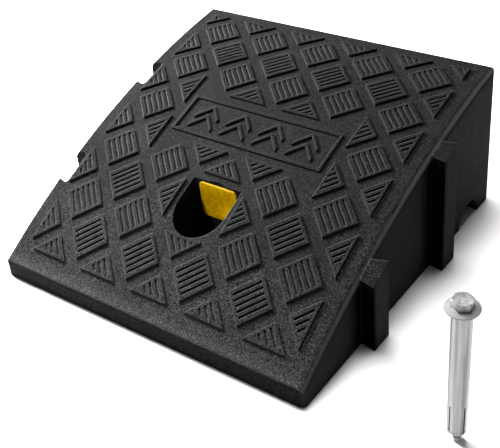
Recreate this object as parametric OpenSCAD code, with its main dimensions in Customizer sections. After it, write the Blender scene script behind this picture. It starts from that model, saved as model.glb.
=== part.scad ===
// Kerb ramp moulded in black plastic: an arched, chequered deck on a ribbed hollow body, with
// dovetails that join ramps side by side, a reflector in its anchor pocket, and its sleeve anchor.
// Millimetres. X runs along the kerb, Y up the slope, Z up. The origin lies on the ground, on the
// axis of the anchor hole.

/* [Ramp] */
// Width along the kerb, without the dovetail tabs
ramp_w = 500; // [460:10:600]
// Depth from the lip to the kerb face
ramp_d = 500; // [470:5:560]
// Height of the deck at the kerb face
ramp_h = 215; // [195:1:235]
// Height of the deck at the front lip
lip_h = 26; // [22:1:34]
// Radius of the arched deck
deck_r = 1200; // [1000:20:2000]
// Thickness of the deck
deck_t = 6; // [5:0.5:8]
// Thickness of the outer walls
wall_t = 5; // [4:0.5:6]
// Thickness of the ribs underneath
rib_t = 3; // [2.5:0.5:5]
// Width of a cell between the ribs, at most
cell_max = 50; // [42:1:52]
// Rounding of the deck's side edges
side_r = 10; // [5:0.5:12]
// Rounding of the lip's top edge
lip_r = 7; // [4:0.5:10]
// Rounding of the deck's edge at the kerb
crest_r = 5; // [3:0.5:8]
// Rounding of the body's upright corners
corner_r = 8; // [4:0.5:12]

/* [Tread] */
// Distance between pad columns, along the kerb
pad_pitch = 90; // [84:0.5:92]
// Distance between pad rows, in plan
row_pitch = 83.4; // [80:0.2:88]
// Width of a diamond pad along the kerb
pad_w = 65.8; // [56:0.2:70]
// Length of a diamond pad in plan
pad_l = 60.8; // [52:0.2:64]
// Height of the pads above the deck
pad_rise = 3.5; // [3:0.5:4]
// Least distance from the deck's edges to the outermost pad centres
pad_margin = 18; // [12:0.5:24]
// How far a cut pad's edge stays back from its centre line
pad_setback = 2.5; // [0.5:0.5:4]
// Number of grooves across a whole pad
groove_count = 5; // [3:1:5]
// Grooves left out where a pad is cut at the deck's edge
edge_fewer = 2; // [0:1:2]
// Grooves left out where a pad is cut beside the panel or the pocket
zone_fewer = 1; // [0:1:2]
// Distance between grooves
groove_pitch = 7.6; // [6:0.1:7.8]
// Width of a groove
groove_w = 3.4; // [2:0.1:4]
// Depth of a groove
groove_depth = 2.2; // [0.8:0.1:2.8]
// Rim left between a groove's end and the pad's edge
groove_rim = 3.5; // [3:0.5:5]

/* [Panel] */
// Length of the framed panel along the kerb
panel_w = 250; // [230:5:256]
// Depth of the framed panel, in plan
panel_d = 64; // [56:1:70]
// Distance from the lip to the middle of the panel
panel_at = 270; // [266:1:274]
// Width of the ridge that frames the panel
ridge_w = 4; // [2:0.5:5]
// Height of the ridge
ridge_rise = 3; // [1:0.5:3]

/* [Pocket] */
// Width of the pocket that hides the anchor head
pocket_w = 80; // [74:1:84]
// Distance from the lip to the pocket's back wall
pocket_back = 181; // [176:1:184]
// Distance from the lip to the anchor hole, where the pocket's round front has its centre
hole_at = 144; // [140:1:150]
// Height of the pocket's floor above the ground
floor_z = 25; // [20:1:32]
// Thickness of the pocket's floor
floor_t = 8; // [6:0.5:10]
// Radial gap between the anchor's sleeve and its hole
hole_gap = 1; // [0.5:0.25:2]
// Diameter of the boss round the hole
boss_d = 50; // [42:1:56]

/* [Reflector] */
// Width of the reflector plate
plate_w = 62; // [50:1:66]
// Height of the reflector plate
plate_h = 53; // [40:1:58]
// Thickness of the reflector plate
plate_t = 2.5; // [1.5:0.5:4]
// Corner radius of the reflector plate
plate_r = 6; // [2:0.5:10]
// Distance from the deck down to the top of the plate, on the pocket's back wall
plate_drop = 3; // [1:0.5:8]

/* [Dovetails] */
// Distance from the lip to the middle of the front dovetail
tab_front = 141; // [138:1:148]
// Distance from the lip to the middle of the rear dovetail
tab_rear = 322; // [312:1:330]
// Reach of a tab beyond the side wall
tab_reach = 21; // [14:0.5:24]
// Width of a tab where it leaves the wall
tab_neck = 27; // [22:0.5:30]
// How much wider each side of a tab is at its outer end
tab_flare = 4; // [2:0.5:5]
// Gap round a tab in the notch of the next ramp
tab_gap = 7; // [2:0.5:8]
// Gap beyond the outer end of a tab in that notch
tab_end_gap = 1; // [0.5:0.5:3]
// Rounding of a notch's inner corners
notch_r = 5; // [2:0.5:6]

/* [Drain] */
// Radius of the half-round drain way under the ramp
drain_r = 30; // [20:1:32]
// Distance from the lip to the middle of the drain way
drain_at = 430; // [424:1:434]

/* [Anchor] */
// Where the loose anchor stands along the kerb, from the anchor hole
anchor_x = 414; // [340:2:450]
// Where the loose anchor stands in depth, from the anchor hole
anchor_y = -94; // [-150:2:100]
// Diameter of the anchor bolt's shank
shank_d = 14; // [13.5:0.5:14.5]
// Length of the bolt below its flange
bolt_l = 183; // [178:1:200]
// Diameter of the bolt's threaded end
thread_d = 12; // [10:0.5:13]
// Length of the threaded end
thread_l = 48; // [44:1:60]
// Chamfer at the bolt's tip
tip_chamfer = 1.8; // [0.5:0.1:2.5]
// Size of the hexagon across its flats
hex_af = 21; // [18:1:24]
// Height of the hexagon above the flange
hex_h = 8.5; // [6:0.5:12]
// Diameter of the flange
flange_d = 37; // [32:1:42]
// Thickness of the flange
flange_t = 3.5; // [2.5:0.5:5]
// Direction of one of the hexagon's corners, from X
hex_turn = -14; // [-30:1:30]
// Outer diameter of the sleeve
sleeve_d = 22; // [20.5:0.5:23]
// Length of the sleeve
sleeve_l = 164; // [130:1:165]
// Radial gap between the bolt's shank and the sleeve
shank_gap = 0.3; // [0.1:0.05:0.5]
// Radial gap between the bolt's thread and the cone nut
nut_gap = 0.08; // [0.05:0.01:0.1]
// Number of slots in the sleeve's end
slot_count = 4; // [3:1:6]
// Direction of the first slot, from X
slot_turn = 68; // [0:1:90]
// Length of the slots
slot_l = 36; // [24:1:44]
// Width of the slots
slot_w = 1.6; // [1:0.1:2.4]
// Height of the cone nut's rim, which stands below the sleeve
nut_rim = 6.5; // [5:0.5:7.5]
// Chamfer round the foot of the cone nut
nut_chamfer = 2.5; // [1:0.5:3]
// Height of the cone nut's cone, inside the sleeve
nut_cone = 14; // [10:1:16]
// Wall left at the sleeve's end, outside the cone
lip_wall = 0.8; // [0.6:0.1:1.2]
// How much wider than the sleeve's bore the cone's tip is, in radius
cone_lead = 0.5; // [0.3:0.1:0.8]
// Gap between the cone nut and the sleeve
cone_gap = 0.4; // [0.3:0.05:0.6]
// Gap between the sleeve and the flange that turns on it
seat_gap = 0.1; // [0.05:0.05:0.5]

/* [Hidden] */

plastic = "#3a3a3b";
amber = "#d9a400";
zinc = "#b9bcc0";

// Overlap of solids that are one piece, and overshoot of cuts
eps = 1;
// How far a polygon stays inside the circle that rounds its corner
corner_bite = 0.05;
// Facets of drawn circles, which stay true circles in the exact solid
smooth = 96;

// The deck is part of a cylinder along X. Its centre lies below and behind the ramp.
chord = norm([ramp_d, ramp_h - lip_h]);
chord_tilt = atan((ramp_h - lip_h) / ramp_d);
centre_drop = sqrt(pow(deck_r, 2) - pow(chord / 2, 2));
deck_cy = ramp_d / 2 + centre_drop * sin(chord_tilt);
deck_cz = (ramp_h + lip_h) / 2 - centre_drop * cos(chord_tilt);
// Height of the deck at depth y
function deck_z(y) = deck_cz + sqrt(pow(deck_r, 2) - pow(y - deck_cy, 2));

// Tread lattice in plan: columns across, rows up the slope, with half steps between
pad_cols = floor((ramp_w - 2 * pad_margin) / pad_pitch);
pad_rows = floor(2 * (ramp_d - 2 * pad_margin) / row_pitch) / 2;
pad_x0 = -(pad_cols - 1) / 2 * pad_pitch;
pad_y0 = (ramp_d - pad_rows * row_pitch) / 2;

// Directions of a pad's sides, and their length
pad_side = norm([pad_w, pad_l]) / 2;
side_p = [pad_w, pad_l] / (2 * pad_side);
side_q = [-pad_w, pad_l] / (2 * pad_side);

// Places that the pads keep clear of, as [middle y, half width, half depth]
pocket_front = hole_at - pocket_w / 2;
panel_zone = [panel_at, panel_w / 2, panel_d / 2];
pocket_zone = [(pocket_front + pocket_back) / 2, pocket_w / 2, (pocket_back - pocket_front) / 2];

// Whether a whole pad at (x, y) would reach a zone: the diamond touches it where the overhangs,
// as shares of the pad's half diagonals, add up to less than 1
function overhang(a, half) = max(0, abs(a) - half);
function meets(x, y, zone) =
    overhang(x, zone[1]) / (pad_w / 2) + overhang(y - zone[0], zone[2]) / (pad_l / 2) < 1;

// Part of a pad at (x, y) that a zone leaves, as [x from, x to, y from, y to] about its centre.
// A bound at a whole pad cuts nothing off. A pad well inside the zone is left out.
pad_whole = [-pad_w, pad_w, -pad_l, pad_l];
function left_by(x, y, zone) =
    let(dy = y - zone[0], k = pad_setback)
    !meets(x, y, zone) ? pad_whole :
    abs(x) > zone[1] - pad_w / 4 ? (x < 0 ? [-pad_w, -k, -pad_l, pad_l] : [k, pad_w, -pad_l, pad_l]) :
    abs(dy) > zone[2] - pad_l / 4 ? (dy < 0 ? [-pad_w, pad_w, -pad_l, -k] : [-pad_w, pad_w, k, pad_l]) :
    [0, 0, 0, 0];

// Which half of a pad a cut leaves along one axis: 1 for the upper, -1 for the lower, 0 for both
function half_left(low, high, whole) = low > -whole ? 1 : high < whole ? -1 : 0;

// Part that the deck's own edges leave of the pad in column i and row j
function left_by_edges(i, j) = [
    i < 0 ? pad_setback : -pad_w,
    i > pad_cols - 1 ? -pad_setback : pad_w,
    j == 0 ? pad_setback : -pad_l,
    j == pad_rows ? -pad_setback : pad_l
];

function common(a, b) = [max(a[0], b[0]), min(a[1], b[1]), max(a[2], b[2]), min(a[3], b[3])];
function pad_x(i) = pad_x0 + i * pad_pitch;
function pad_y(j) = pad_y0 + j * row_pitch;
function pad_clip(i, j) =
    common(left_by_edges(i, j), common(
        left_by(pad_x(i), pad_y(j), panel_zone), left_by(pad_x(i), pad_y(j), pocket_zone)
    ));

// Rib cells: each span between fixed walls is divided evenly
function cells(from, to) = ceil((to - from) / (cell_max + rib_t));
function spans(stops) = [
    for (k = [0:len(stops) - 2])
        let(a = stops[k], b = stops[k + 1], n = cells(a, b))
        for (m = [0:n - 1]) [a + (b - a) * m / n + rib_t / 2, a + (b - a) * (m + 1) / n - rib_t / 2]
];
inner_x = ramp_w / 2 - wall_t;
pocket_x = pocket_w / 2 + wall_t - rib_t / 2;
cell_xs = spans([
    -inner_x - rib_t / 2, -pocket_x, 0, pocket_x, inner_x + rib_t / 2
]);
cell_ys = spans([
    wall_t - rib_t / 2, pocket_front - wall_t / 2, pocket_back + wall_t / 2, drain_at,
    ramp_d - wall_t + rib_t / 2
]);

hole_d = sleeve_d + 2 * hole_gap;

// Heights in the anchor, from its tip on the ground
sleeve_z = bolt_l - seat_gap - sleeve_l;
nut_z = sleeve_z - nut_rim;
// Radii in the anchor: the sleeve's bore, and its cone at the foot and at the top
sleeve_bore = shank_d / 2 + shank_gap;
cone_foot = sleeve_d / 2 - lip_wall;
cone_top = sleeve_bore + cone_lead;

// Rectangle with round corners, drawn from circles and squares
module rounded_rect(w, d, r) {
    square([w, d - 2 * r], center = true);
    square([w - 2 * r, d], center = true);
    for (x = [-1, 1], y = [-1, 1])
        translate([x * (w / 2 - r), y * (d / 2 - r)])
            circle(r = r, $fn = smooth);
}

// Disc that the deck is part of, with round rims
module deck_disc() {
    translate([0, deck_cy, deck_cz])
        rotate([0, 90, 0])
            rotate_extrude($fn = 720) {
                translate([0, -ramp_w / 2])
                    square([deck_r - side_r, ramp_w]);
                translate([0, -ramp_w / 2 + side_r])
                    square([deck_r, ramp_w - 2 * side_r]);
                for (side = [-1, 1])
                    translate([deck_r - side_r, side * (ramp_w / 2 - side_r)])
                        circle(r = side_r, $fn = smooth);
            }
}

// Cylinder about the deck's centre of curvature, with square edges
module deck_cylinder(radius, width) {
    translate([0, deck_cy, deck_cz])
        rotate([0, 90, 0])
            cylinder(r = radius, h = width, center = true, $fn = 720);
}

// What rounding takes off the deck's edge over a wall at depth y, inward being +1 or -1 along Y
module edge_trim(y, inward, r) {
    cy = y + inward * r;
    cz = deck_cz + sqrt(pow(deck_r - r, 2) - pow(cy - deck_cy, 2));
    normal = [cy - deck_cy, cz - deck_cz] / (deck_r - r);
    rotate([90, 0, 90])
        linear_extrude(height = ramp_w + 2 * eps, center = true)
            difference() {
                polygon([
                    [y - inward * eps, cz], [cy, cz],
                    [cy, cz] + (r + eps) * normal, [y - inward * eps, cz + r + 2 * eps]
                ]);
                translate([cy, cz])
                    circle(r = r, $fn = smooth);
            }
}

// Outline of the pocket in plan, grown by the given margin
module pocket_outline(grow) {
    w = pocket_w + 2 * grow;
    translate([0, hole_at])
        circle(d = w, $fn = smooth);
    translate([-w / 2, hole_at])
        square([w, pocket_back + grow - hole_at]);
}

// Dovetail in plan, pointing along +X from the side wall, grown by the given margin
module dovetail(grow, reach) {
    neck = tab_neck / 2 + grow;
    flare = tab_flare * reach / tab_reach;
    polygon([
        [-eps, -neck], [0, -neck], [reach, -neck - flare],
        [reach, neck + flare], [0, neck], [-eps, neck]
    ]);
}

// Notch that takes a tab, in plan along +X from the side wall, with round inner corners
module notch() {
    reach = tab_reach + tab_end_gap;
    neck = tab_neck / 2 + tab_gap;
    slope = atan(tab_flare / tab_reach);
    // The corner circle touches the notch's end and its slanting side
    cx = reach - notch_r;
    cy = neck + cx * tan(slope) - notch_r / cos(slope);
    inside = notch_r - corner_bite;
    polygon([
        [-eps, -neck], [0, -neck],
        [cx - inside * sin(slope), -cy - inside * cos(slope)], [cx, -cy],
        [cx + inside, -cy], [cx + inside, cy],
        [cx, cy], [cx - inside * sin(slope), cy + inside * cos(slope)],
        [0, neck], [-eps, neck]
    ]);
    for (side = [-1, 1])
        translate([cx, side * cy])
            circle(r = notch_r, $fn = smooth);
}

// Places something at both dovetails of one side
module at_dovetails(side_x) {
    for (y = [tab_front, tab_rear])
        translate([side_x, y, 0])
            children();
}

// Solid outer form of the ramp, with its edges rounded
module outer_form() {
    difference() {
        intersection() {
            deck_disc();
            translate([0, ramp_d / 2, 0])
                linear_extrude(height = ramp_h + eps)
                    rounded_rect(ramp_w, ramp_d, corner_r);
        }
        edge_trim(0, 1, lip_r);
        edge_trim(ramp_d, -1, crest_r);
    }
}

// Tab that a neighbouring ramp's notch takes, level with the deck
module tabs() {
    intersection() {
        deck_cylinder(deck_r, ramp_w + 4 * tab_reach);
        at_dovetails(ramp_w / 2)
            linear_extrude(height = ramp_h)
                dovetail(0, tab_reach);
    }
}

// Notches along the left side
module notches() {
    at_dovetails(-ramp_w / 2)
        translate([0, 0, -eps])
            linear_extrude(height = ramp_h + 2 * eps + pad_rise)
                notch();
}

// Diamond pad in plan, drawn in by the inset and cut to the part that its place leaves
module pad_outline(clip, inset) {
    half = pad_side / 2 - inset;
    low = [edge_in(clip[0], pad_w, inset), edge_in(clip[2], pad_l, inset)];
    high = [-edge_in(-clip[1], pad_w, inset), -edge_in(-clip[3], pad_l, inset)];
    intersection() {
        polygon([
            (side_p + side_q) * half, (side_q - side_p) * half,
            (-side_p - side_q) * half, (side_p - side_q) * half
        ]);
        translate(low)
            square(high - low);
    }
}

// A cut edge is drawn in like a pad's sides, and the bound of a whole pad stays
function edge_in(edge, whole, inset) = edge > -whole ? edge + inset : edge;

// Grooves of a pad, along its sides p or q, with fewer of them towards a cut pad's narrow end
module groove_outline(clip, along_p, fewer) {
    run = (along_p ? side_p : side_q) * pad_side;
    step = along_p ? side_q : side_p;
    x_half = half_left(clip[0], clip[1], pad_w);
    wide_end = half_left(clip[2], clip[3], pad_l) + (along_p ? -x_half : x_half);
    first = wide_end > 0 ? fewer : 0;
    last = groove_count - 1 - (wide_end < 0 ? fewer : 0);
    intersection() {
        for (k = [first:last]) {
            near = step * ((k - (groove_count - 1) / 2) * groove_pitch - groove_w / 2);
            far = near + step * groove_w;
            polygon([near - run, near + run, far + run, far - run]);
        }
        pad_outline(clip, groove_rim);
    }
}

// Puts something at each pad that the deck's edges, the panel and the pocket leave room for, with
// $clip as the part to keep, $along_p as the grooves' direction and $fewer as the grooves left out
module at_pads() {
    for (row = [0:2 * pad_rows])
        for (col = [0:pad_cols - (row % 2 == 0 ? 1 : 0)]) {
            j = row / 2;
            i = row % 2 == 0 ? col : col - 0.5;
            $clip = pad_clip(i, j);
            $along_p = row % 2 == 1 && i > 0 && j < pad_rows;
            $fewer = left_by_edges(i, j) != pad_whole ? edge_fewer : zone_fewer;
            if ($clip[1] > $clip[0] && $clip[3] > $clip[2])
                translate([pad_x(i), pad_y(j)])
                    children();
        }
}

// Upright prism from inside the body
module upright() {
    translate([0, 0, lip_h / 2])
        linear_extrude(height = ramp_h)
            children();
}

// Raises an outline above the arched deck
module raised(rise) {
    intersection() {
        deck_cylinder(deck_r + rise, ramp_w);
        upright()
            children();
    }
}

// Chequered tread of grooved pads
module tread() {
    difference() {
        raised(pad_rise)
            at_pads()
                pad_outline($clip, 0);
        difference() {
            upright()
                at_pads()
                    groove_outline($clip, $along_p, $fewer);
            deck_cylinder(deck_r + pad_rise - groove_depth, ramp_w + 2 * eps);
        }
    }
}

// Ridge that frames the panel
module panel_ridge() {
    raised(ridge_rise)
        translate([0, panel_at])
            difference() {
                square([panel_w, panel_d], center = true);
                square([panel_w - 2 * ridge_w, panel_d - 2 * ridge_w], center = true);
            }
}

// Hollow underside between the ribs
module underside() {
    intersection() {
        deck_cylinder(deck_r - deck_t, ramp_w);
        translate([0, 0, -eps])
            linear_extrude(height = ramp_h)
                difference() {
                    intersection() {
                        for (x = cell_xs, y = cell_ys)
                            translate([x[0], y[0]])
                                square([x[1] - x[0], y[1] - y[0]]);
                        translate([0, ramp_d / 2])
                            rounded_rect(ramp_w - 2 * wall_t, ramp_d - 2 * wall_t, corner_r - wall_t / 2);
                    }
                    pocket_outline(wall_t);
                    for (y = [tab_front, tab_rear])
                        translate([-ramp_w / 2, y])
                            dovetail(tab_gap + wall_t, tab_reach + tab_end_gap + wall_t);
                }
    }
}

// Coring of the tabs from below
module tab_cores() {
    intersection() {
        deck_cylinder(deck_r - deck_t, ramp_w + 4 * tab_reach);
        at_dovetails(ramp_w / 2)
            translate([0, 0, -eps])
                linear_extrude(height = ramp_h)
                    intersection() {
                        dovetail(-wall_t, tab_reach);
                        square([2 * (tab_reach - wall_t), ramp_w], center = true);
                        translate([0, -ramp_w / 2])
                            square([tab_reach, ramp_w]);
                    }
    }
}

// Pocket with its floor, and the coring below the floor round the boss
module pocket() {
    translate([0, 0, floor_z])
        linear_extrude(height = ramp_h)
            pocket_outline(0);
    translate([0, 0, -eps])
        linear_extrude(height = floor_z - floor_t + eps)
            difference() {
                pocket_outline(0);
                translate([0, hole_at]) {
                    circle(d = boss_d, $fn = smooth);
                    square([pocket_w, rib_t], center = true);
                    square([rib_t, pocket_w], center = true);
                }
            }
    translate([0, hole_at, -eps])
        cylinder(d = hole_d, h = floor_z + 2 * eps, $fn = smooth);
}

module ramp_body() {
    color(plastic)
        translate([0, -hole_at, 0])
            difference() {
                union() {
                    outer_form();
                    tabs();
                    tread();
                    panel_ridge();
                }
                underside();
                tab_cores();
                notches();
                pocket();
                translate([0, drain_at, 0])
                    rotate([0, 90, 0])
                        cylinder(r = drain_r, h = 2 * ramp_w, center = true, $fn = smooth);
            }
}

// Reflector plate, flat on the pocket's back wall
module reflector_plate() {
    top = deck_z(pocket_back) - plate_drop;
    color(amber)
        translate([0, pocket_back - hole_at, top - plate_h / 2])
            rotate([90, 0, 0])
                linear_extrude(height = plate_t)
                    rounded_rect(plate_w, plate_h, plate_r);
}

// Stands something where the loose anchor stands
module at_anchor() {
    translate([anchor_x, anchor_y, 0])
        children();
}

// Cone that narrows at 45 degrees from radius r at its foot
module chamfer_cone(r, h) {
    cylinder(r1 = r, r2 = r - h, h = h, $fn = smooth);
}

// Flange bolt with a shank, a thinner threaded end and a chamfered tip
module anchor_bolt() {
    color(zinc)
        at_anchor() {
            translate([0, 0, tip_chamfer])
                mirror([0, 0, 1])
                    chamfer_cone(thread_d / 2, tip_chamfer);
            translate([0, 0, tip_chamfer])
                cylinder(d = thread_d, h = bolt_l - tip_chamfer, $fn = smooth);
            translate([0, 0, thread_l])
                cylinder(d = shank_d, h = bolt_l - thread_l, $fn = smooth);
            translate([0, 0, bolt_l])
                bolt_head();
        }
}

// Domed flange with a hexagon, whose top corners are chamfered
module bolt_head() {
    cylinder(d = flange_d, h = flange_t / 2, $fn = smooth);
    translate([0, 0, flange_t / 2])
        cylinder(d1 = flange_d, d2 = hex_af, h = flange_t / 2, $fn = smooth);
    intersection() {
        rotate([0, 0, hex_turn])
            cylinder(d = hex_af / cos(30), h = flange_t + hex_h, $fn = 6);
        chamfer_cone(hex_af / 2 + flange_t + hex_h, flange_t + hex_h);
    }
}

// Cone in the sleeve's lower end, drawn in by the given margin
module sleeve_cone(margin) {
    cylinder(r1 = cone_foot - margin, r2 = cone_top - margin, h = nut_cone, $fn = smooth);
}

// Split sleeve, coned inside its lower end
module anchor_sleeve() {
    color(zinc)
        at_anchor()
            translate([0, 0, sleeve_z])
                difference() {
                    cylinder(d = sleeve_d, h = sleeve_l, $fn = smooth);
                    translate([0, 0, -eps])
                        cylinder(r = sleeve_bore, h = sleeve_l + 2 * eps, $fn = smooth);
                    sleeve_cone(0);
                    for (k = [0:slot_count - 1])
                        rotate([0, 0, slot_turn + k * 360 / slot_count])
                            translate([0, -slot_w / 2, -eps])
                                cube([sleeve_d, slot_w, slot_l + eps]);
                }
}

// Cone nut, drawn up into the sleeve as the bolt turns
module cone_nut() {
    color(zinc)
        at_anchor()
            translate([0, 0, nut_z])
                difference() {
                    union() {
                        translate([0, 0, nut_chamfer])
                            mirror([0, 0, 1])
                                chamfer_cone(sleeve_d / 2, nut_chamfer);
                        translate([0, 0, nut_chamfer])
                            cylinder(d = sleeve_d, h = nut_rim - nut_chamfer - cone_gap, $fn = smooth);
                        translate([0, 0, nut_rim - cone_gap])
                            sleeve_cone(cone_gap);
                    }
                    translate([0, 0, -eps])
                        cylinder(r = thread_d / 2 + nut_gap, h = nut_rim + nut_cone + 2 * eps, $fn = smooth);
                }
}

ramp_body();
reflector_plate();
anchor_sleeve();
anchor_bolt();
cone_nut();
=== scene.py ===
"""Looks of a moulded kerb ramp and its sleeve anchor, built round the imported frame, in metres."""

import math

import bmesh
import bpy
from mathutils import Matrix, Vector


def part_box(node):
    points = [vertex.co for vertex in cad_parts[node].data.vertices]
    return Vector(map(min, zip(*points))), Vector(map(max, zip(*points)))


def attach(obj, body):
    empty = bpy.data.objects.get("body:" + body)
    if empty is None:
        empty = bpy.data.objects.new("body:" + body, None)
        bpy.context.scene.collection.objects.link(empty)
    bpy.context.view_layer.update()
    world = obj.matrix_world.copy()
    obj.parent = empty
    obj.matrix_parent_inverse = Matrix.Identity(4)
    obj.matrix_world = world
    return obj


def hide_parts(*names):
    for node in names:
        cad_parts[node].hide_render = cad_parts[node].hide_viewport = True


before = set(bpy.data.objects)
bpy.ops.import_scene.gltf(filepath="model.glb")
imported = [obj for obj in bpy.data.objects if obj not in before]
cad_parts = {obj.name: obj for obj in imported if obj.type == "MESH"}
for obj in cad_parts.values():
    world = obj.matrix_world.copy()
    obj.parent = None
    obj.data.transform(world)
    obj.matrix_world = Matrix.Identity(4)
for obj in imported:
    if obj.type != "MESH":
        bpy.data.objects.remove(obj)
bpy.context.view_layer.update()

# Ramp, with places up its slope measured from the front edge
RAMP_W = 0.500
RAMP_D = 0.500
RAMP_H = 0.215
LIP_H = 0.026
DECK_R = 1.200
HOLE_AT = 0.144
PANEL_AT = 0.270
TAB_FRONT = 0.141
TAB_REAR = 0.322
TAB_NECK = 0.027

# Ramp's front and right side in the frame, whose origin is on the ground below the anchor hole
FRONT = -HOLE_AT
RIGHT = RAMP_W / 2

# Anchor bolt
THREAD_R = 0.006
THREAD_L = 0.048
THREAD_PITCH = 0.00175
THREAD_DEPTH = 0.0010
THREAD_SLOPE = 1.3
THREAD_ROOT = 0.15
TIP_CHAMFER = 0.0018
SHANK_R = 0.007
BOLT_L = 0.183
FLANGE_R = 0.0185
FLANGE_T = 0.0035
FLANGE_RIM = 0.42
FLANGE_ROUND = 0.0005
HEX_AF = 0.021
HEX_H = 0.0085
HEX_SINK = 0.002
HEX_TURN = math.radians(-25)
HEX_CONE_RUN = 1.7
HEX_CONE_START = 0.0005
HEX_SOFTNESS = 0.00015

# Sides and rows of the bolt's meshes
THREAD_SIDES = 72
THREAD_ROWS_PER_TURN = 10
SHANK_SIDES = 48
FLANGE_SIDES = 96
FLANGE_ROWS = 16
HEX_SIDES = 180
HEX_ROWS = 24

# Reflector plate
PLATE_CORNER = 0.006
PLATE_CORNER_STEPS = 8
PLATE_BEVEL = 0.0007
PLATE_BEVEL_MIDDLE = 0.3
PLATE_RIM = 0.0022
PLATE_FIELD = 0.0028
PLATE_FIELD_DEPTH = 0.0003

# Chevrons in the panel
CHEVRON_W = 0.040
CHEVRON_D = 0.020
CHEVRON_STROKE = 0.0065
CHEVRON_PITCH = 0.056
CHEVRON_COUNT = 4
CHEVRON_STACK = 0.017
CHEVRON_RISE = 0.0030
CHEVRON_SINK = -0.001
CHEVRON_DRAFT = 0.0006
CHEVRON_STEPS = 12

# Camera, fitted to the photograph, with angles in degrees and its lens and sensor in millimetres
CAMERA_AT = (0.69583, -0.74193, 0.77996)
CAMERA_AZIMUTH = 36.899
CAMERA_ELEVATION = 32.795
CAMERA_ROLL = -4.444
CAMERA_LENS = 66.516
CAMERA_SHIFT = (-0.07, -0.07)
CAMERA_NEAR = 0.01
SENSOR = 36.0

# Stage and lights, with powers in watts and the snoot's angle in degrees
FLOOR_HALF = 6.0
FLOOR_DROP = -0.0002
OVERHEAD_AT, OVERHEAD_AIM = (-0.90, 1.15, 6.1), (0.0, 0.10, 0.1)
OVERHEAD_SIZE, OVERHEAD_POWER = 2.7, 590
KEY_AT, KEY_AIM = (-0.70, 0.08, 0.68), (0.0, 0.1, 0.1)
KEY_SIZE, KEY_POWER = 0.32, 50
SNOOT_AT, SNOOT_AIM = (-0.40, -0.88, 0.88), (0.0, 0.033, 0.085)
SNOOT_ANGLE, SNOOT_POWER = 7, 74
SNOOT_SOFTNESS = 0.08
HORIZON = (0.03, 0.30)
HORIZON_STRENGTH, SKY_STRENGTH = 0.38, 0.05

SHARP_ANGLE = math.radians(32)


# Deck surface

def deck_centre():
    """Centre of the deck's arc, as (y, z) in the frame."""
    rise = RAMP_H - LIP_H
    chord = math.hypot(RAMP_D, rise)
    tilt = math.atan2(rise, RAMP_D)
    drop = math.sqrt(DECK_R ** 2 - (chord / 2) ** 2)
    y = FRONT + RAMP_D / 2 + drop * math.sin(tilt)
    z = (RAMP_H + LIP_H) / 2 - drop * math.cos(tilt)
    return y, z


def deck_z(y, rise):
    """Height of the deck, raised along its normal, at a place in the frame."""
    cy, cz = deck_centre()
    return cz + math.sqrt((DECK_R + rise) ** 2 - (y - cy) ** 2)


# Mesh helpers

def mesh_object(name, bm):
    """Turns a bmesh into a smooth shaded object whose sharp edges stay sharp."""
    bmesh.ops.recalc_face_normals(bm, faces=bm.faces)
    for face in bm.faces:
        face.smooth = True
    for edge in bm.edges:
        if len(edge.link_faces) == 2 and edge.calc_face_angle() > SHARP_ANGLE:
            edge.smooth = False
    mesh = bpy.data.meshes.new(name)
    bm.to_mesh(mesh)
    bm.free()
    obj = bpy.data.objects.new(name, mesh)
    bpy.context.scene.collection.objects.link(obj)
    return obj


def closed_strip(bm, rows):
    """Closed solid over rows of equally many vertices, each row a loop."""
    for low, high in zip(rows, rows[1:]):
        for k in range(len(low)):
            n = (k + 1) % len(low)
            bm.faces.new((low[k], low[n], high[n], high[k]))
    bm.faces.new(list(reversed(rows[0])))
    bm.faces.new(rows[-1])


def rings(bm, radius, heights, centre, sides):
    """Closed solid about an upright axis, with radius(angle, z) at each height."""
    rows = []
    for z in heights:
        row = []
        for k in range(sides):
            a = 2 * math.pi * k / sides
            r = radius(a, z)
            row.append(bm.verts.new((
                centre.x + r * math.cos(a), centre.y + r * math.sin(a), centre.z + z
            )))
        rows.append(row)
    closed_strip(bm, rows)


def steps(low, high, count):
    """Evenly spaced values from low to high, both included."""
    return [low + (high - low) * k / count for k in range(count + 1)]


# Node material helpers

def new_material(name):
    """Empty node material with its Principled shader and its output."""
    material = bpy.data.materials.new(name)
    material.use_nodes = True
    tree = material.node_tree
    tree.nodes.clear()
    output = tree.nodes.new("ShaderNodeOutputMaterial")
    shader = tree.nodes.new("ShaderNodeBsdfPrincipled")
    tree.links.new(shader.outputs["BSDF"], output.inputs["Surface"])
    return material, tree, shader


def place(tree, stretch=1.0):
    """Object coordinates, with Z scaled by the given factor."""
    coords = tree.nodes.new("ShaderNodeTexCoord")
    mapping = tree.nodes.new("ShaderNodeMapping")
    mapping.inputs["Scale"].default_value = (1.0, 1.0, stretch)
    tree.links.new(coords.outputs["Object"], mapping.inputs["Vector"])
    return mapping.outputs["Vector"]


def noise(tree, vector, scale, detail, roughness):
    """Noise between 0 and 1."""
    node = tree.nodes.new("ShaderNodeTexNoise")
    node.inputs["Scale"].default_value = scale
    node.inputs["Detail"].default_value = detail
    node.inputs["Roughness"].default_value = roughness
    tree.links.new(vector, node.inputs["Vector"])
    return node.outputs["Fac"]


def remap(tree, value, low, high, to_low=0.0, to_high=1.0):
    """Maps low..high of a value to to_low..to_high, clamped."""
    node = tree.nodes.new("ShaderNodeMapRange")
    node.inputs["From Min"].default_value = low
    node.inputs["From Max"].default_value = high
    node.inputs["To Min"].default_value = to_low
    node.inputs["To Max"].default_value = to_high
    tree.links.new(value, node.inputs["Value"])
    return node.outputs["Result"]


def combine(tree, operation, a, b):
    """Result of a Math node on two values, each a socket or a number."""
    node = tree.nodes.new("ShaderNodeMath")
    node.operation = operation
    for socket, value in zip(node.inputs, (a, b)):
        if isinstance(value, (int, float)):
            socket.default_value = value
        else:
            tree.links.new(value, socket)
    return node.outputs["Value"]


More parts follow.
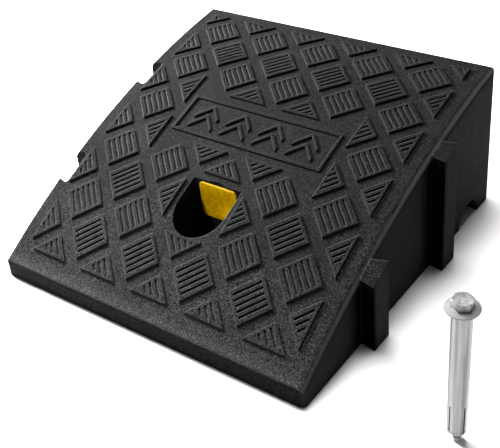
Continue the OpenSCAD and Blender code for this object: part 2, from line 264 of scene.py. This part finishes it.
def product(tree, first, *others):
    """Several values multiplied."""
    result = first
    for value in others:
        result = combine(tree, "MULTIPLY", result, value)
    return result


def blend_colours(tree, factor, low, high):
    """Colour between two colours, each a socket or an RGB triple."""
    node = tree.nodes.new("ShaderNodeMix")
    node.data_type = "RGBA"
    colour_a, colour_b = (s for s in node.inputs if s.type == "RGBA")
    factor_in = next(s for s in node.inputs if s.type == "VALUE")
    tree.links.new(factor, factor_in)
    for socket, value in ((colour_a, low), (colour_b, high)):
        if isinstance(value, tuple):
            socket.default_value = (*value, 1.0)
        else:
            tree.links.new(value, socket)
    return next(s for s in node.outputs if s.type == "RGBA")


def bump(tree, height, distance, strength, normal=None):
    """Normal with a height added to it."""
    node = tree.nodes.new("ShaderNodeBump")
    node.inputs["Distance"].default_value = distance
    node.inputs["Strength"].default_value = strength
    tree.links.new(height, node.inputs["Height"])
    if normal is not None:
        tree.links.new(normal, node.inputs["Normal"])
    return node.outputs["Normal"]


def component(tree, vector, axis):
    """X, Y or Z of a vector."""
    split = tree.nodes.new("ShaderNodeSeparateXYZ")
    tree.links.new(vector, split.inputs["Vector"])
    return split.outputs[axis]


def surface_normal(tree):
    """The surface's own normal."""
    return tree.nodes.new("ShaderNodeNewGeometry").outputs["Normal"]


def along(tree, axis, start, end, to_start=0.0, to_end=1.0):
    """Value that goes from to_start to to_end between two places on an axis."""
    return remap(tree, component(tree, place(tree), axis), start, end, to_start, to_end)


def turned(tree, axis, start, end):
    """0 to 1 between two values of the surface normal's part along an axis."""
    return remap(tree, component(tree, surface_normal(tree), axis), start, end)


def spots(tree, vector, scale, detail, roughness, low, high, to_low=0.0, to_high=1.0):
    """Noise whose values between low and high spread from to_low to to_high."""
    return remap(tree, noise(tree, vector, scale, detail, roughness), low, high, to_low, to_high)


# Black plastic: zones along an axis, as start, end and the values there
LIP_ZONE = (FRONT + 0.022, FRONT + 0.004)
ROLLED_ZONE = (FRONT + 0.016, FRONT + 0.0015)
NOSE_ZONE = (FRONT + 0.0015, FRONT + 0.0002)
TRODDEN_ZONE = (FRONT + 0.304, FRONT + 0.014, 0.20, 0.85)
LOW_DECK_ZONE = (FRONT + 0.004, FRONT + 0.144, 1.0, 0.40)
CREST_ZONE = (FRONT + 0.344, FRONT + 0.494, 0.0, 0.14)
TAB_TOP_ZONE = (RIGHT - 0.001, RIGHT + 0.002, 1.0, 0.5)
# Heights between which the walls' painted shade fades in
WALL_HEIGHTS = (0.03, 0.17)

# Black plastic: parts of the surface normal between which a look fades in
TOP_TURN = (0.35, 0.75)
RIM_TURN = (0.34, 0.49)
FLANK_TURN = (-0.3, -0.8)
SIDE_TURN = (0.90, 0.99)
# The next range leans the painted edge highlight towards edges that face left, towards the key
# light
LEFT_TURN = (0.04, -0.25, 0.12, 1.0)
EDGE_TURN = (0.998, 0.94)

# Black plastic: painted deep shade in the corners in front of the tabs
FLANK_START, FLANK_FULL = 0.0003, 0.0015
SHADE_START, SHADE_FULL, SHADE_PAST = 0.030, 0.005, 0.001

# Black plastic: noises, as scale, detail, roughness, and the spread of their values
SPECKLE = (480, 3.0, 0.7, 0.50, 0.66)
PATCHES = (14, 3.0, 0.5, 0.35, 0.65, 0.35, 1.0)
FINE_GRAIN = (380, 3.0, 0.70, 0.37, 0.62)
BLOTCHES = (130, 3.0, 0.6, 0.30, 0.70, 0.55, 1.0)
NOSE_GRAIN = (230, 3.0, 0.70, 0.36, 0.64)
PLASTIC_ROUGHNESS = (150, 4.0, 0.6, 0.3, 0.7, 0.50, 0.66)
PITS = (520, 3.0, 0.7)
PIT_DEPTH = 0.0020
WAVES = (60, 2.0, 0.5)
WAVE_DEPTH, WAVE_STRENGTH = 0.0004, 0.35
WORN_RADIUS = 0.0014
WORN_SAMPLES = 6
PLASTIC_SPECULAR = 0.012

# Black plastic: colours
GRAIN_DARK, GRAIN_PALE = (0.0022, 0.0022, 0.0023), (0.0350, 0.0350, 0.0354)
# Upright walls painted darker higher up: painted shade
LOW_WALL, HIGH_WALL_PAINTED_SHADE = (0.0125, 0.0125, 0.0126), (0.0085, 0.0085, 0.0086)
PAINTED_DEEP_SHADE = (0.0008, 0.0008, 0.0008)
# The lip's nose: real grain, with both its colours darker than the walls as painted shade
NOSE_DARK, NOSE_PALE = (0.0004, 0.0004, 0.0004), (0.0105, 0.0105, 0.0106)
# Painted sheen on the rolled top of the lip
LIP_SHEEN = (0.024, 0.024, 0.0243)
SPECK, LIP_SPECK = (0.068, 0.068, 0.069), (0.092, 0.092, 0.0932)
# Painted highlight on the deck's edges
PAINTED_EDGE_HIGHLIGHT = (0.064, 0.064, 0.0648)
# Painted highlight along the rounded edge between the deck and the right side
PAINTED_RIM_HIGHLIGHT = (0.060, 0.060, 0.0606)


def speckled_share(tree, here, top):
    """0 to 1 on the pale specks of the deck, which are thickest on the lip."""
    trodden = product(tree, spots(tree, here, *PATCHES), along(tree, "Y", *TRODDEN_ZONE))
    share = combine(tree, "MAXIMUM", trodden, along(tree, "Y", *LIP_ZONE))
    return product(tree, spots(tree, here, *SPECKLE), share, top)


def deck_grain(tree, here):
    """0 to 1 over the cloudy grain of the deck, which is strongest low down."""
    low_deck, crest = along(tree, "Y", *LOW_DECK_ZONE), along(tree, "Y", *CREST_ZONE)
    strength = combine(tree, "ADD", low_deck, crest)
    fine, blotches = spots(tree, here, *FINE_GRAIN), spots(tree, here, *BLOTCHES)
    return product(tree, fine, blotches, strength, along(tree, "X", *TAB_TOP_ZONE))


def painted_shade_beside_tabs(tree):
    """0 to 1 of painted shade in the corners in front of the two tabs, on the wall and on the tabs'
    flanks.
    """
    outside = along(tree, "X", RIGHT + FLANK_START, RIGHT + FLANK_FULL)
    shade = product(tree, outside, turned(tree, "Y", *FLANK_TURN))
    wall = turned(tree, "X", *SIDE_TURN)
    y = component(tree, place(tree), "Y")
    for middle in (TAB_FRONT, TAB_REAR):
        root = FRONT + middle - TAB_NECK / 2
        near = remap(tree, y, root - SHADE_START, root - SHADE_FULL)
        before = combine(tree, "LESS_THAN", y, root + SHADE_PAST)
        shade = combine(tree, "MAXIMUM", shade, product(tree, near, wall, before))
    return shade


def wall_colour(tree, here):
    """Colour of the upright walls: smooth, with painted shade higher up and in front of the tabs,
    and grained on the lip's nose, with painted shade.
    """
    sides = blend_colours(tree, along(tree, "Z", *WALL_HEIGHTS), LOW_WALL, HIGH_WALL_PAINTED_SHADE)
    # Painted deep shade in the corners in front of the tabs
    sides = blend_colours(tree, painted_shade_beside_tabs(tree), sides, PAINTED_DEEP_SHADE)
    # The lip's nose: grain, darker than the walls as painted shade
    nose = blend_colours(tree, spots(tree, here, *NOSE_GRAIN), NOSE_DARK, NOSE_PALE)
    return blend_colours(tree, along(tree, "Y", *NOSE_ZONE), sides, nose)


def right_rim_highlight(tree):
    """0 to 1 of painted highlight on the rounded edge between the deck and the right side."""
    normal = surface_normal(tree)
    slant = product(tree, component(tree, normal, "X"), component(tree, normal, "Z"))
    return remap(tree, slant, *RIM_TURN)


def rounded_edges_and_painted_highlight(tree):
    """Normal that rounds every edge a little, and a mask of painted highlight on the edges, mostly
    on the left edges, which face the key light.
    """
    bevel = tree.nodes.new("ShaderNodeBevel")
    bevel.samples = WORN_SAMPLES
    bevel.inputs["Radius"].default_value = WORN_RADIUS
    rounded = bevel.outputs["Normal"]
    agree = tree.nodes.new("ShaderNodeVectorMath")
    agree.operation = "DOT_PRODUCT"
    tree.links.new(rounded, agree.inputs[0])
    tree.links.new(surface_normal(tree), agree.inputs[1])
    near = remap(tree, agree.outputs["Value"], *EDGE_TURN)
    left = remap(tree, component(tree, rounded, "X"), *LEFT_TURN)
    return rounded, product(tree, near, left)


def black_plastic():
    """Moulded plastic, grained and speckled where it is trodden on and smooth on upright walls,
    with painted highlights, sheen and shade.
    """
    material, tree, shader = new_material("black_plastic")
    here = place(tree)
    top = turned(tree, "Z", *TOP_TURN)
    deck = blend_colours(tree, deck_grain(tree, here), GRAIN_DARK, GRAIN_PALE)
    moulded = blend_colours(tree, top, wall_colour(tree, here), deck)
    rolled = product(tree, along(tree, "Y", *ROLLED_ZONE), top)
    # Painted sheen on the rolled top of the lip
    with_lip_sheen = blend_colours(tree, rolled, moulded, LIP_SHEEN)
    specks = blend_colours(tree, rolled, SPECK, LIP_SPECK)
    speckled = blend_colours(tree, speckled_share(tree, here, top), with_lip_sheen, specks)
    rounded, edge_highlight_mask = rounded_edges_and_painted_highlight(tree)
    # Painted highlight on the top edges, strongest on the left edges, which face the key light
    edge_highlighted = blend_colours(tree, product(tree, edge_highlight_mask, top), speckled, PAINTED_EDGE_HIGHLIGHT)
    # Painted highlight on the deck's right edge
    colour = blend_colours(tree, right_rim_highlight(tree), edge_highlighted, PAINTED_RIM_HIGHLIGHT)
    tree.links.new(colour, shader.inputs["Base Color"])
    tree.links.new(spots(tree, here, *PLASTIC_ROUGHNESS), shader.inputs["Roughness"])
    shader.inputs["Specular IOR Level"].default_value = PLASTIC_SPECULAR
    pits = product(tree, noise(tree, here, *PITS), top)
    pitted = bump(tree, pits, PIT_DEPTH, 1.0, rounded)
    waves = bump(tree, noise(tree, here, *WAVES), WAVE_DEPTH, WAVE_STRENGTH, pitted)
    tree.links.new(waves, shader.inputs["Normal"])
    return material


# Yellow plastic
PRISM_SCALE, PRISM_RANDOMNESS = 420, 0.25
PRISM_DEPTH, PRISM_STRENGTH = 0.00025, 0.5
MOTTLE = (150, 4.0, 0.7)
MOTTLE_SPREAD = (0.36, 0.64)
YELLOW_DARK, YELLOW_PALE = (0.49, 0.265, 0.0), (0.72, 0.415, 0.0)
# Painted shade: the plate's up-facing edges are darker
YELLOW_EDGE_PAINTED_SHADE = (0.20, 0.118, 0.001)
YELLOW_TURN = (0.15, 0.60)
YELLOW_ROUGHNESS = (0.3, 0.7, 0.48, 0.60)
YELLOW_SPECULAR = 0.06


def yellow_plastic():
    """Reflector: yellow plastic over a fine lattice of small prisms, with painted shade on its
    up-facing edges.
    """
    material, tree, shader = new_material("yellow_plastic")
    here = place(tree)
    cells = tree.nodes.new("ShaderNodeTexVoronoi")
    cells.inputs["Scale"].default_value = PRISM_SCALE
    cells.inputs["Randomness"].default_value = PRISM_RANDOMNESS
    tree.links.new(here, cells.inputs["Vector"])
    mottle = noise(tree, here, *MOTTLE)
    face = blend_colours(tree, remap(tree, mottle, *MOTTLE_SPREAD), YELLOW_DARK, YELLOW_PALE)
    # Painted shade on the plate's up-facing edges
    colour = blend_colours(tree, turned(tree, "Z", *YELLOW_TURN), face, YELLOW_EDGE_PAINTED_SHADE)
    tree.links.new(colour, shader.inputs["Base Color"])
    tree.links.new(remap(tree, mottle, *YELLOW_ROUGHNESS), shader.inputs["Roughness"])
    shader.inputs["Specular IOR Level"].default_value = YELLOW_SPECULAR
    prisms = bump(tree, cells.outputs["Distance"], PRISM_DEPTH, PRISM_STRENGTH)
    tree.links.new(prisms, shader.inputs["Normal"])
    return material


# Zinc plating: noises as above, with Z scaled so that they run along the anchor
STREAKS, STREAK_STRETCH = (900, 3.0, 0.6), 0.05
STREAK_DEPTH, STREAK_STRENGTH = 0.00006, 0.6
# Stripes of painted reflection along the anchor
REFLECTION_BANDS, REFLECTION_BAND_STRETCH = (190, 2.0, 0.5, 0.34, 0.66), 0.03
ZINC_PATCHES = (70, 4.0, 0.6)
PATCH_SHARE = 0.6
ZINC_ROUGHNESS = (0.4, 1.2, 0.36, 0.54)
FLANGE_ROUGHNESS = 0.80

# Zinc plating: heights in the bolt between which a look fades in
UNDER_FLANGE = (BOLT_L - 0.0010, BOLT_L - 0.0004)
OVER_FLANGE = (BOLT_L + FLANGE_T + 0.0002, BOLT_L + FLANGE_T - 0.0004)
TIP_HEIGHTS = (0.0072, 0.0058)

# Zinc plating: colours
# Shaded and lit copies of the zinc, blended in stripes as painted reflections
SHADED_BAND_DARK, SHADED_BAND_PALE = (0.14, 0.142, 0.146), (0.19, 0.192, 0.196)
LIT_BAND_DARK, LIT_BAND_PALE = (0.26, 0.263, 0.268), (0.33, 0.332, 0.336)
FLANGE_ZINC = (0.245, 0.247, 0.251)
# Painted light: the thread's tip is far paler than the rest
TIP_PAINTED_LIGHT = (0.94, 0.942, 0.95)


def zinc_plated_steel():
    """Zinc plated steel, with painted reflections in stripes along the anchor and painted light on
    the thread's tip, matt on the bolt's flange.
    """
    material, tree, shader = new_material("zinc_plated_steel")
    streaks = noise(tree, place(tree, STREAK_STRETCH), *STREAKS)
    reflection_bands = spots(tree, place(tree, REFLECTION_BAND_STRETCH), *REFLECTION_BANDS)
    patches = noise(tree, place(tree), *ZINC_PATCHES)
    shaded_band = blend_colours(tree, patches, SHADED_BAND_DARK, SHADED_BAND_PALE)
    lit_band = blend_colours(tree, patches, LIT_BAND_DARK, LIT_BAND_PALE)
    # Painted reflections in stripes along the anchor
    painted_reflections = blend_colours(tree, reflection_bands, shaded_band, lit_band)
    flange = product(tree, along(tree, "Z", *UNDER_FLANGE), along(tree, "Z", *OVER_FLANGE))
    pressed = blend_colours(tree, flange, painted_reflections, FLANGE_ZINC)
    # Painted light on the thread's tip
    colour = blend_colours(tree, along(tree, "Z", *TIP_HEIGHTS), pressed, TIP_PAINTED_LIGHT)
    tree.links.new(colour, shader.inputs["Base Color"])
    shader.inputs["Metallic"].default_value = 1.0
    mixed = combine(tree, "ADD", product(tree, patches, PATCH_SHARE), streaks)
    matt = product(tree, flange, FLANGE_ROUGHNESS)
    rough = combine(tree, "MAXIMUM", remap(tree, mixed, *ZINC_ROUGHNESS), matt)
    tree.links.new(rough, shader.inputs["Roughness"])
    tree.links.new(bump(tree, streaks, STREAK_DEPTH, STREAK_STRENGTH), shader.inputs["Normal"])
    return material


# Floor
PAPER_NOISE = (3, 2.0, 0.5)
PAPER_DARK, PAPER_PALE = (0.90, 0.90, 0.90), (0.93, 0.93, 0.93)
PAPER_ROUGHNESS, PAPER_SPECULAR = 0.9, 0.1


def studio_floor():
    """Plain white paper."""
    material, tree, shader = new_material("studio_floor")
    shade = noise(tree, place(tree), *PAPER_NOISE)
    colour = blend_colours(tree, shade, PAPER_DARK, PAPER_PALE)
    tree.links.new(colour, shader.inputs["Base Color"])
    shader.inputs["Roughness"].default_value = PAPER_ROUGHNESS
    shader.inputs["Specular IOR Level"].default_value = PAPER_SPECULAR
    return material


def dress(node, material):
    """Gives a CAD node its material."""
    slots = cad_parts[node].data.materials
    slots.clear()
    slots.append(material)


# Anchor bolt

def thread_radius(angle, z):
    """Radius of the M12 thread, which a chamfer leads in at the tip."""
    turn = (z / THREAD_PITCH - angle / (2 * math.pi)) % 1.0
    ridge = 1 - abs(2 * turn - 1)
    flank = min(1.0, max(0.0, ridge * THREAD_SLOPE - THREAD_ROOT))
    return min(THREAD_R - THREAD_DEPTH * (1 - flank), THREAD_R - TIP_CHAMFER + z)


def shank_radius(angle, z):
    """Radius of the plain shank."""
    return SHANK_R


def flange_radius(angle, z):
    """Radius of the flange: a round rim below a cone that rises to the hexagon."""
    rim = FLANGE_T * FLANGE_RIM
    if z <= rim:
        bulge = math.sqrt(max(0.0, 1 - (2 * z / rim - 1) ** 2))
        return FLANGE_R - FLANGE_ROUND * (1 - bulge)
    outer = FLANGE_R - FLANGE_ROUND
    return outer - (outer - HEX_AF / 2) * (z - rim) / (FLANGE_T - rim)


def hex_radius(angle, z):
    """Radius of the hexagon, with its top corners cut by a cone."""
    sector = (angle - HEX_TURN) % (math.pi / 3) - math.pi / 6
    flat = HEX_AF / 2 / math.cos(sector)
    cone = HEX_AF / 2 + HEX_CONE_RUN * (HEX_H - z) + HEX_CONE_START
    nearer = math.exp(-flat / HEX_SOFTNESS) + math.exp(-cone / HEX_SOFTNESS)
    return -HEX_SOFTNESS * math.log(nearer)


def anchor_bolt(material):
    """Flange bolt with a true thread at its end and a chamfered hexagon."""
    bm = bmesh.new()
    low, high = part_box("anchor_bolt")
    foot = Vector(((low.x + high.x) / 2, (low.y + high.y) / 2, low.z))
    seat = foot + Vector((0, 0, BOLT_L))
    head = seat + Vector((0, 0, FLANGE_T))
    thread_rows = int(THREAD_L / THREAD_PITCH * THREAD_ROWS_PER_TURN)
    rings(bm, thread_radius, steps(0, THREAD_L, thread_rows), foot, THREAD_SIDES)
    rings(bm, shank_radius, [THREAD_L, BOLT_L], foot, SHANK_SIDES)
    rings(bm, flange_radius, steps(0, FLANGE_T, FLANGE_ROWS), seat, FLANGE_SIDES)
    rings(bm, hex_radius, steps(-HEX_SINK, HEX_H, HEX_ROWS), head, HEX_SIDES)
    bolt = mesh_object("anchor_bolt_detail", bm)
    bolt.data.materials.append(material)
    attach(bolt, "bolt")
    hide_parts("anchor_bolt")


# Reflector

def rounded_outline(width, height, radius):
    """Points of a rectangle with round corners, anticlockwise about its middle."""
    points = []
    for quarter in range(4):
        cx = (width / 2 - radius) * (1 if quarter in (0, 3) else -1)
        cz = (height / 2 - radius) * (1 if quarter in (0, 1) else -1)
        for share in steps(0, 1, PLATE_CORNER_STEPS):
            a = math.pi / 2 * (quarter + share)
            points.append((cx + radius * math.cos(a), cz + radius * math.sin(a)))
    return points


def reflector(material):
    """Plate with round corners and softened edges, in a shallow raised rim."""
    low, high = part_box("reflector_plate")
    size = high - low
    middle = (low + high) / 2
    eased = PLATE_BEVEL * PLATE_BEVEL_MIDDLE
    layers = (
        (0.0, size.y), (0.0, PLATE_BEVEL), (eased, eased), (PLATE_BEVEL, 0.0),
        (PLATE_RIM, 0.0), (PLATE_FIELD, PLATE_FIELD_DEPTH)
    )
    bm = bmesh.new()
    rows = []
    for inset, depth in layers:
        outline = rounded_outline(size.x - 2 * inset, size.z - 2 * inset, PLATE_CORNER - inset)
        rows.append([
            bm.verts.new((middle.x + x, low.y + depth, middle.z + z)) for x, z in outline
        ])
    closed_strip(bm, rows)
    plate = mesh_object("reflector_detail", bm)
    plate.data.materials.append(material)
    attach(plate, "ramp")
    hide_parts("reflector_plate")


# Relief in the panel

def chevron(bm, x, y):
    """One raised chevron that points up the slope and follows the deck."""
    profile = (
        (CHEVRON_SINK, 0.0, 1), (CHEVRON_RISE, CHEVRON_DRAFT, 1),
        (CHEVRON_RISE, CHEVRON_DRAFT, -1), (CHEVRON_SINK, 0.0, -1)
    )
    rows = []
    for share in steps(-1, 1, CHEVRON_STEPS):
        py = y + CHEVRON_D / 2 - CHEVRON_D * abs(share)
        row = []
        for rise, inset, side in profile:
            px = x + (CHEVRON_W / 2 - inset) * share
            edge = py + side * (CHEVRON_STROKE / 2 - inset)
            row.append(bm.verts.new((px, edge, deck_z(edge, rise))))
        rows.append(row)
    closed_strip(bm, rows)


def panel_relief(material):
    """Row of plain double chevrons in the framed panel."""
    bm = bmesh.new()
    middle_y = FRONT + PANEL_AT
    for k in range(CHEVRON_COUNT):
        x = (k - (CHEVRON_COUNT - 1) / 2) * CHEVRON_PITCH
        for shift in (-CHEVRON_STACK / 2, CHEVRON_STACK / 2):
            chevron(bm, x, middle_y + shift)
    relief = mesh_object("panel_relief", bm)
    relief.data.materials.append(material)
    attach(relief, "ramp")


# Stage

def floor():
    """Wide white floor just below the ramp."""
    bm = bmesh.new()
    half = FLOOR_HALF
    corners = [(-half, -half), (half, -half), (half, half), (-half, half)]
    bm.faces.new([bm.verts.new((x, y, FLOOR_DROP)) for x, y in corners])
    ground = mesh_object("floor", bm)
    ground.data.materials.append(studio_floor())


def hang(name, data, place_at, aim):
    """Puts a lamp in the scene, facing a point."""
    lamp = bpy.data.objects.new(name, data)
    lamp.location = place_at
    direction = Vector(aim) - Vector(place_at)
    lamp.rotation_euler = direction.to_track_quat("-Z", "Y").to_euler()
    bpy.context.scene.collection.objects.link(lamp)


def soft_light(name, place_at, aim, size, power):
    """Square area light that faces a point."""
    data = bpy.data.lights.new(name, "AREA")
    data.shape = "SQUARE"
    data.size = size
    data.energy = power
    hang(name, data, place_at, aim)


def narrow_light(name, place_at, aim, angle, power):
    """Snooted lamp with a soft edge that faces a point."""
    data = bpy.data.lights.new(name, "SPOT")
    data.spot_size = math.radians(angle)
    data.spot_blend = 1.0
    data.shadow_soft_size = SNOOT_SOFTNESS
    data.energy = power
    hang(name, data, place_at, aim)


def sky():
    """Dim white surroundings, brighter towards the horizon."""
    world = bpy.data.worlds.new("studio")
    world.use_nodes = True
    tree = world.node_tree
    background = tree.nodes["Background"]
    background.inputs["Color"].default_value = (1.0, 1.0, 1.0, 1.0)
    coords = tree.nodes.new("ShaderNodeTexCoord")
    upward = component(tree, coords.outputs["Generated"], "Z")
    fade = remap(tree, upward, *HORIZON, HORIZON_STRENGTH, SKY_STRENGTH)
    tree.links.new(fade, background.inputs["Strength"])
    bpy.context.scene.world = world


def lights():
    """Large soft light overhead, a smaller one close on the left, and a narrow one on the plate."""
    soft_light("overhead", OVERHEAD_AT, OVERHEAD_AIM, OVERHEAD_SIZE, OVERHEAD_POWER)
    soft_light("key", KEY_AT, KEY_AIM, KEY_SIZE, KEY_POWER)
    narrow_light("plate", SNOOT_AT, SNOOT_AIM, SNOOT_ANGLE, SNOOT_POWER)
    sky()
    bpy.context.scene.view_settings.view_transform = "Standard"


def camera():
    """Camera at the photograph's viewing angle."""
    az, el, roll = (math.radians(a) for a in (CAMERA_AZIMUTH, CAMERA_ELEVATION, CAMERA_ROLL))
    forward = Vector((-math.sin(az) * math.cos(el), math.cos(az) * math.cos(el), -math.sin(el)))
    level = Vector((math.cos(az), math.sin(az), 0))
    upright = level.cross(forward)
    right = level * math.cos(roll) + upright * math.sin(roll)
    up = upright * math.cos(roll) - level * math.sin(roll)
    data = bpy.data.cameras.new("camera")
    data.sensor_fit = "HORIZONTAL"
    data.sensor_width = SENSOR
    data.lens = CAMERA_LENS
    data.shift_x, data.shift_y = CAMERA_SHIFT
    data.clip_start = CAMERA_NEAR
    view = bpy.data.objects.new("camera", data)
    turn = Matrix((right, up, -forward)).transposed().to_4x4()
    view.matrix_world = Matrix.Translation(CAMERA_AT) @ turn
    bpy.context.scene.collection.objects.link(view)
    bpy.context.scene.camera = view


# The scene

camera()
floor()
lights()

plastic = black_plastic()
amber = yellow_plastic()
zinc = zinc_plated_steel()
dress("ramp_body", plastic)
dress("reflector_plate", amber)
dress("anchor_sleeve", zinc)
dress("cone_nut", zinc)
dress("anchor_bolt", zinc)

reflector(amber)
anchor_bolt(zinc)
panel_relief(plastic)
